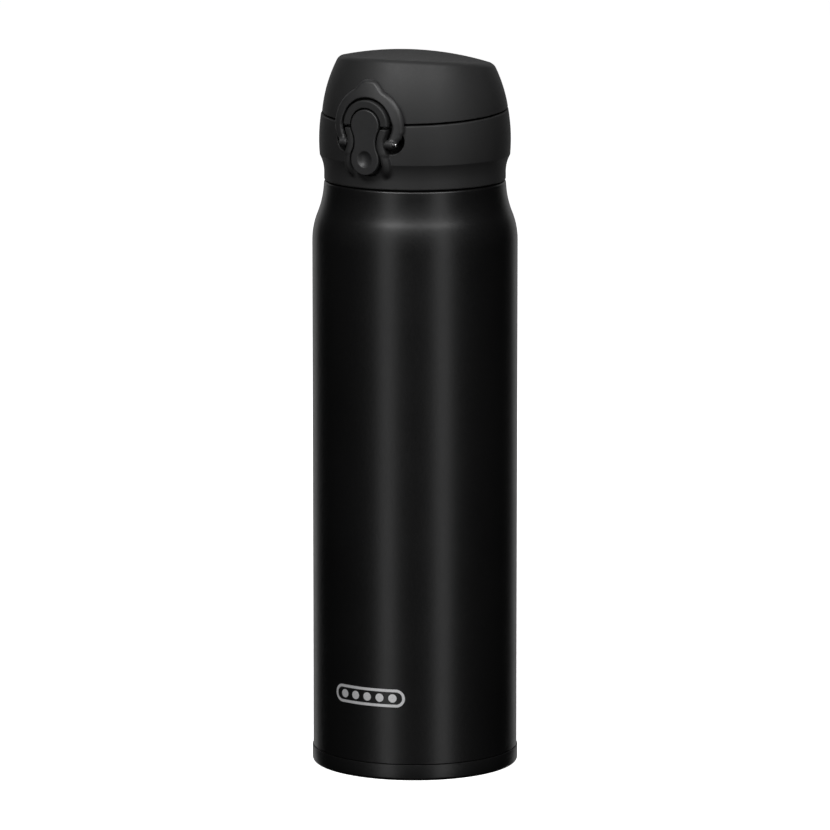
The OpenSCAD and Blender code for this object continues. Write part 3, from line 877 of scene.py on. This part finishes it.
def lid_field(x, y, z):
    """The lid: a leaning side under a shallow dome, the latch's lip and the hinge's arms."""
    dome_r, lip_r = 104.5, 8.5
    dome = np.sqrt(x ** 2 + (y + 9.8) ** 2 + (z - TOP_Z + dome_r) ** 2) - dome_r
    outer = meet(lid_side(x, y, z), dome, 1.1)
    inner = meet(lid_side(x, y, z, COVER), dome + COVER, 0.6)
    # the lip round the button's upper end, flat in front
    arch = np.where(z < TOP_C, np.abs(x), np.hypot(x, z - TOP_C)) - lip_r
    lip = meet(arch, FRAME_Y - y, 0.55)
    upper = join(outer, np.maximum(lip, y + 26), 0.5)
    solid = np.maximum(upper, -inner)
    bore = meet(keyhole(x, z, SLIT), y + CAP_R - 1.3, 0.2)
    solid = cut(solid, bore, 0.15)
    ax = np.abs(x)
    across = slab(ax, *LID_KNUCKLE)
    arm = meet(meet(across, slab(y, CAP_R - 0.02, HINGE_Y + 1.6), 0.5),
               slab(z, HINGE_Z, HINGE_Z + 8), 0.6)
    foot = meet(meet(across, slab(y, CAP_R - 2.7, HINGE_Y + 0.6), 0.3),
                slab(z, HINGE_Z + 6.6, HINGE_Z + 9.2), 0.6)
    knuckle = rod_field(ax, y, z, (HINGE_Y, HINGE_Z), KNUCKLE_R, *LID_KNUCKLE, 0.25)
    hinge = join(np.minimum(arm, knuckle), foot, 0.5)
    # the lid ends at the seam, but the lip goes on down in front of the collar
    above = SEAM_GAP / 2 - seam_height(y, z)
    apron = np.maximum(np.maximum(CAP_R + 0.2 - np.hypot(x, y), y), LIP_Z + LIP_GAP - z)
    solid = meet(solid, np.minimum(above, apron), 0.2)
    return np.maximum(join(solid, hinge, 0.4),
                      bore_r("hinge_pin") - np.hypot(y - HINGE_Y, z - HINGE_Z))


def button_field(x, y, z):
    """The latch button: a keyhole plate with a boss for its pin and a peg for its spring."""
    plate = meet(keyhole(x, z), slab(y, FACE_Y, FACE_Y + COVER), 0.35)
    boss_end = WAIST + 0.35
    boss = rod_field(x, y, z, (ROCK_Y, ROCK_Z), 1.6, -boss_end, boss_end, 0.2)
    peg_r, peg_z = 0.9, LOW_C - 2.4
    peg = meet(np.hypot(x, z - peg_z) - peg_r, slab(y, FACE_Y + 1.5, FACE_Y + 2.9), 0.15)
    solid = np.minimum(join(plate, boss, 0.3), peg)
    solid = np.maximum(solid, bore_r("button_pin") - np.hypot(y - ROCK_Y, z - ROCK_Z))
    # the dimple: a ball sunk into the face
    ball_r, sunk = 3.9, 1.15
    ball_y, ball_z = FACE_Y - (ball_r - sunk), LOW_C + 0.1
    dimple = np.sqrt(x ** 2 + (y - ball_y) ** 2 + (z - ball_z) ** 2) - ball_r
    return cut(solid, dimple, 0.14)


def ring_field(x, y, z):
    """The lock ring: an open arch with a thumb tab, leaning back towards the lid."""
    centre, inside, outside = NECK_Z + 21.9, 9.6, 13.3
    eye_r, eye_ends = 1.4, (7.4, 10.3)
    reach = np.hypot(x, z - centre)
    rho = np.hypot(x, y)
    ax = np.abs(x)
    # front and back: turned about the cap's axis, and bowed back above the seam
    rise = np.clip(z - (NECK_Z + 23), 0, None)
    front = rho - (CAP_R + 1.5 - 0.04 * rise - 0.0115 * rise ** 2)
    back = CAP_R + 0.15 - 0.05 * rise - 0.0115 * rise ** 2 - rho
    # the thumb tab is a blunt rounded bar blended into the arch's top
    tip, bar_r, flat = NECK_Z + 37.5, 3.3, 0.8
    tab = np.hypot(np.maximum(ax - flat, 0), z - np.clip(z, centre, tip - bar_r)) - bar_r
    arch = meet(join(reach - outside, tab, 2.0), front, 1.35)
    arch = meet(arch, inside - reach, 0.5 + 0.7 * np.clip(1 - (z - centre) / 3, 0, 1))
    # below the arch's centre the arms taper and curve in beside the flanks; each point has
    # its |x|, its height above the centre and half the arm's width
    path = [(11.45, 0.0, 1.85), (11.35, -1.2, 1.85), (10.75, -2.9, 1.75), (9.9, -4.5, 1.6),
            (9.15, -6.0, 1.45)]
    arm = np.full(np.shape(x), 1e3)
    for (ax0, az0, r0), (ax1, az1, r1) in zip(path[:-1], path[1:]):
        dx, dz = ax1 - ax0, az1 - az0
        t = np.clip(((ax - ax0) * dx + (z - centre - az0) * dz) / (dx * dx + dz * dz), 0, 1)
        d = np.hypot(ax - ax0 - t * dx, z - centre - az0 - t * dz) - (r0 + (r1 - r0) * t)
        arm = soft_min(arm, d, 0.3)
    arm = meet(arm, front, 1.2)
    solid = meet(np.where(z > centre, arch, arm), back, 0.25)
    eye = rod_field(ax, y, z, (RING_Y, RING_Z), eye_r, *eye_ends, 0.4)
    solid = join(solid, eye, 0.6)
    return np.maximum(solid, PIN_R + 0.05 - np.hypot(y - RING_Y, z - RING_Z))


def build_pins():
    """The ring's two steel pins, with rounded ends."""
    def pin(name, low, high, node):
        """A pin along X from low to high, on the ring's axis."""
        edge = 0.25
        quarter = np.linspace(0, math.pi / 2, 5)
        outline = ([(0, low)]
                   + [(PIN_R - edge + edge * math.sin(a), low + edge - edge * math.cos(a))
                      for a in quarter]
                   + [(PIN_R - edge + edge * math.sin(a), high - edge + edge * math.cos(a))
                      for a in quarter[::-1]]
                   + [(0, high)])
        points, faces = lathe(outline, 40)
        points = np.stack([points[:, 2], points[:, 0] + RING_Y, points[:, 1] + RING_Z], -1)
        finish_mesh(name, mesh_of(name, points, faces, 50), "cap",
                    MATERIALS["pin_steel"], [node])

    # the right one stands out of the ring's eye and the left one is almost flush with it
    pin("ring_pin_l", -10.4, -5, "ring_pin_left")
    pin("ring_pin_r", 5, 11.6, "ring_pin_right")


def build_springs():
    """Round wire where the CAD's coils have six flat sides."""
    def coil(name, start, axis, length, r, wire, turns):
        """A coil of mean radius r from its start along an axis; wire is the wire's radius."""
        axis = np.array(axis, float)
        side = np.cross(axis, (0, 0, 1))
        up = np.cross(axis, side)
        t = np.linspace(0, 1, int(turns * 28) + 1)[:, None]
        a = 2 * math.pi * turns * t
        path = (np.array(start) + axis * (wire + (length - 2 * wire) * t)
                + r * (np.cos(a) * side + np.sin(a) * up))
        points, faces = tube(path, wire * 0.98, 10)
        return finish_mesh(name + "_wire", mesh_of(name + "_wire", points, faces, 60), "cap",
                           MATERIALS["spring_steel"], [name])

    low, high = corners("button_spring")
    middle = (low + high) / 2
    wire = coil("button_spring", (0, low[1], middle[2]), (0, 1, 0), high[1] - low[1], 1.5, 0.25,
                4)
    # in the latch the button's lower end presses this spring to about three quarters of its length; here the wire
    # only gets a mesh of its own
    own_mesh(wire)
    low, high = corners("hinge_spring")
    coil("hinge_spring", (low[0], HINGE_Y, HINGE_Z), (1, 0, 0), high[0] - low[0], 1.35, 0.28, 6)


def build_cap():
    """The moulded covers and the latch's two levers, each meshed in its own box."""
    plastic, satin = MATERIALS["cover_plastic"], MATERIALS["latch_plastic"]
    rim, button_rim = CAP_R + 1.6, END_R + 0.9
    front, back = -rim - 0.4, rim + 2.4
    moulded("collar_moulded", collar_field, (-rim, front, NECK_Z), (rim, back, SEAM_Z + 2.8),
            0.3, "cap", plastic, ["cap_collar"])
    moulded("lid_moulded", lid_field, (-rim, front, NECK_Z + 17), (rim, back, TOP_Z + 0.6),
            0.3, "lid", plastic, ["lid_shell"])
    moulded("button_moulded", button_field, (-button_rim, FACE_Y - 0.6, LOW_C - button_rim),
            (button_rim, FACE_Y + 4.6, TOP_C + button_rim), 0.16, "button",
            satin, ["latch_button"])
    moulded("ring_moulded", ring_field, (-14.2, -36.2, RING_Z - 2.4), (14.2, -25, NECK_Z + 38.8),
            0.2, "ring", satin, ["lock_ring"])


# ------------------------------------------------------------------ scene


def area_light(name, place, target, size, power):
    """A rectangular lamp at a place, facing a target, both in metres."""
    lamp = bpy.data.lights.new(name, "AREA")
    lamp.shape = "RECTANGLE"
    lamp.size, lamp.size_y = size
    lamp.energy = power
    thing = bpy.data.objects.new(name, lamp)
    thing.location = place
    way = np.array(target, float) - np.array(place, float)
    thing.rotation_euler = Vector(way).to_track_quat("-Z", "Y").to_euler()
    bpy.context.scene.collection.objects.link(thing)


def build_stage():
    """A round pale floor. It doesn't show in reflections, so the satin black stays dark."""
    drop = 0.00005                 # just under the flask, so that the two don't share a plane
    rings = [(r / MM, -drop) for r in (0.0, 0.2, 0.5, 1.0, 2.0, 6.0)]
    points, faces = lathe(rings, 64, closed=False)
    mesh = mesh_of("floor", points, faces)
    thing = bpy.data.objects.new("floor", mesh)
    bpy.context.scene.collection.objects.link(thing)
    n = Nodes("floor_paper")
    n.link(n.ramp(n.noise(0.002, 2), (0.86, 0.86, 0.86), (0.90, 0.90, 0.90)),
           n.shader.inputs["Base Color"])
    n.set(Roughness=0.9, Emission_Color=(1, 1, 1, 1), Emission_Strength=0.97)
    mesh.materials.append(n.material)
    thing.visible_glossy = False
    thing.visible_diffuse = False
    thing.visible_shadow = False


def build_lights():
    """Two strips in front, two panels behind the sides, four panels above, and a white room
    that only the camera sees."""
    world = bpy.data.worlds.new("studio")
    bpy.context.scene.world = world
    world.use_nodes = True
    back = world.node_tree.nodes["Background"].inputs
    back["Color"].default_value = (1, 1, 1, 1)
    back["Strength"].default_value = 1.0
    world.cycles_visibility.diffuse = False
    world.cycles_visibility.glossy = False
    middle = (0, 0, 0.12)

    def panel(name, turn, height, distance, size, power):
        """A panel that faces the flask, at an angle from the camera's azimuth; metres, watts."""
        a = math.radians(CAMERA_AZ + turn)
        place = (math.sin(a) * distance, -math.cos(a) * distance, height)
        area_light(name, place, middle, size, power)

    panel("strip_left", -31, 0.15, 1.5, (0.42, 1.6), 3.0)
    panel("strip_right", 31, 0.15, 1.5, (0.42, 1.6), 3.1)
    panel("rim_left", -155, 0.15, 1.2, (0.5, 1.6), 1.07)
    panel("rim_right", 155, 0.15, 1.2, (0.5, 1.6), 0.95)
    panel("high_left", -36, 1.1, 0.9, (0.4, 0.4), 7.6)
    panel("high_front", 0, 1.1, 0.9, (1.0, 0.4), 5.2)
    panel("high_right", 40, 1.1, 0.9, (0.4, 0.4), 5.8)
    panel("high_back", 180, 1.1, 0.9, (1.0, 0.4), 2.0)


def build_camera():
    """A long lens at the height and distance that a product photograph is taken from."""
    az, tilt = math.radians(CAMERA_AZ), math.radians(9.841)
    distance, height = 2.2, 0.50186
    lens = bpy.data.cameras.new("camera")
    lens.sensor_width = 36
    lens.lens = 283.0
    lens.clip_start, lens.clip_end = 0.1, 20
    thing = bpy.data.objects.new("camera", lens)
    thing.location = (math.sin(az) * distance, -math.cos(az) * distance, height)
    thing.rotation_euler = (math.pi / 2 - tilt, 0, az)
    bpy.context.scene.collection.objects.link(thing)
    bpy.context.scene.camera = thing
    bpy.context.scene.view_settings.view_transform = "Standard"


build_camera()
build_stage()
build_lights()
dress_cad_nodes()
build_bottle()
build_base()
build_mark()
build_cap()
build_pins()
build_springs()
